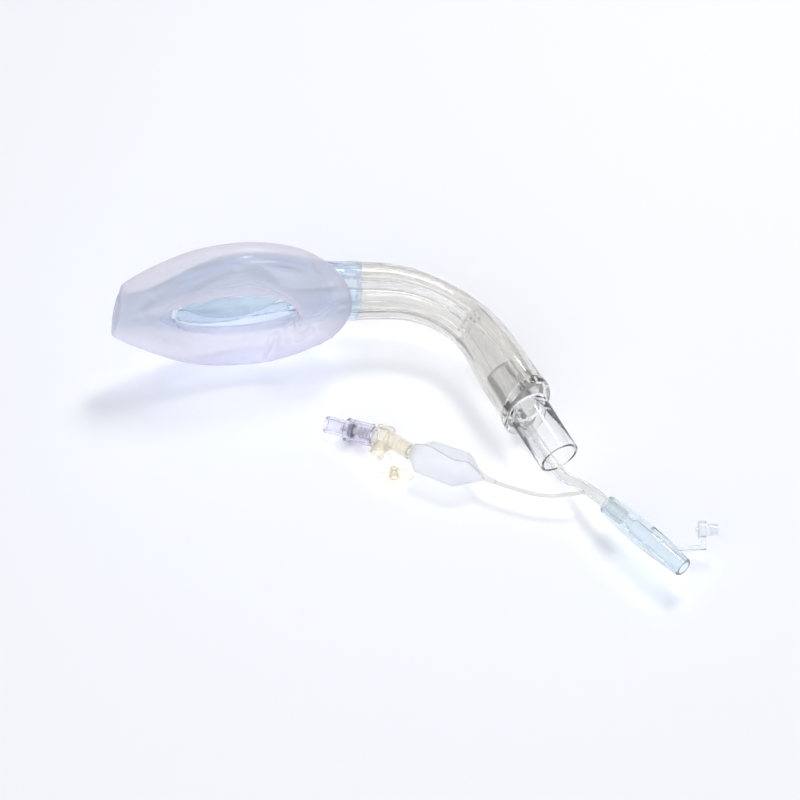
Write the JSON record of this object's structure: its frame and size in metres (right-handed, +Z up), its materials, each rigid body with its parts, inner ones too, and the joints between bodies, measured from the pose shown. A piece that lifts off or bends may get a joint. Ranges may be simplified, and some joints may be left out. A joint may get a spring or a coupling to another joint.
{
  "type": "laryngeal mask airway",
  "caption": "Laryngeal mask airway: inflatable oval cuff round a pale blue bowl, curved clear tube, 15 mm connector, drain tube and pilot balloon with check valve.",
  "frame": {"origin": "on the table, under the middle of the device's bounding box, without the inflation line and what hangs on it", "axes": "+Z up from the table, +X from the mask's tip towards the connectors, -Y the way the bowl faces"},
  "size_m": [0.2197, 0.1303, 0.0657],
  "materials": {
    "cuff_film": "clear satin, faint lavender",
    "blue_shell": "clear gloss, pale blue",
    "clear_soft": "clear gloss, faint ivory",
    "clear_rigid": "clear gloss",
    "aqua_clear": "clear gloss, pale blue",
    "line_ivory": "clear satin, ivory",
    "frosted_clear": "frosted clear",
    "ivory": "satin, ivory",
    "lilac_clear": "clear gloss, pale violet",
    "dark_plug": "satin, dark grey",
    "spring_steel": "bright wire"
  },
  "bodies": {
    "airway": {"cuff": "cuff_film", "backplate": "blue_shell", "airway_tube": "clear_soft", "bite_block": "clear_rigid", "connector_15mm": "clear_rigid", "drain_tube": "clear_soft", "suction_connector": "aqua_clear", "drain_cap": "clear_rigid", "inflation_line": "line_ivory", "pilot_balloon": "frosted_clear", "side_connector": "ivory", "vent_plug": "ivory", "luer_inlet": "lilac_clear", "valve_housing": "lilac_clear", "valve_spring": "spring_steel"},
    "plunger": {"valve_plunger": "dark_plug"}
  },
  "joints": [
    {"name": "valve_plunger_slide", "type": "slide", "parent": "airway", "child": "plunger", "axis": [0.9219, -0.3717, 0.109], "range_m": [0, 0.0012], "stiffness_N_per_m": 60, "deforming": ["valve_spring"]}
  ]
}
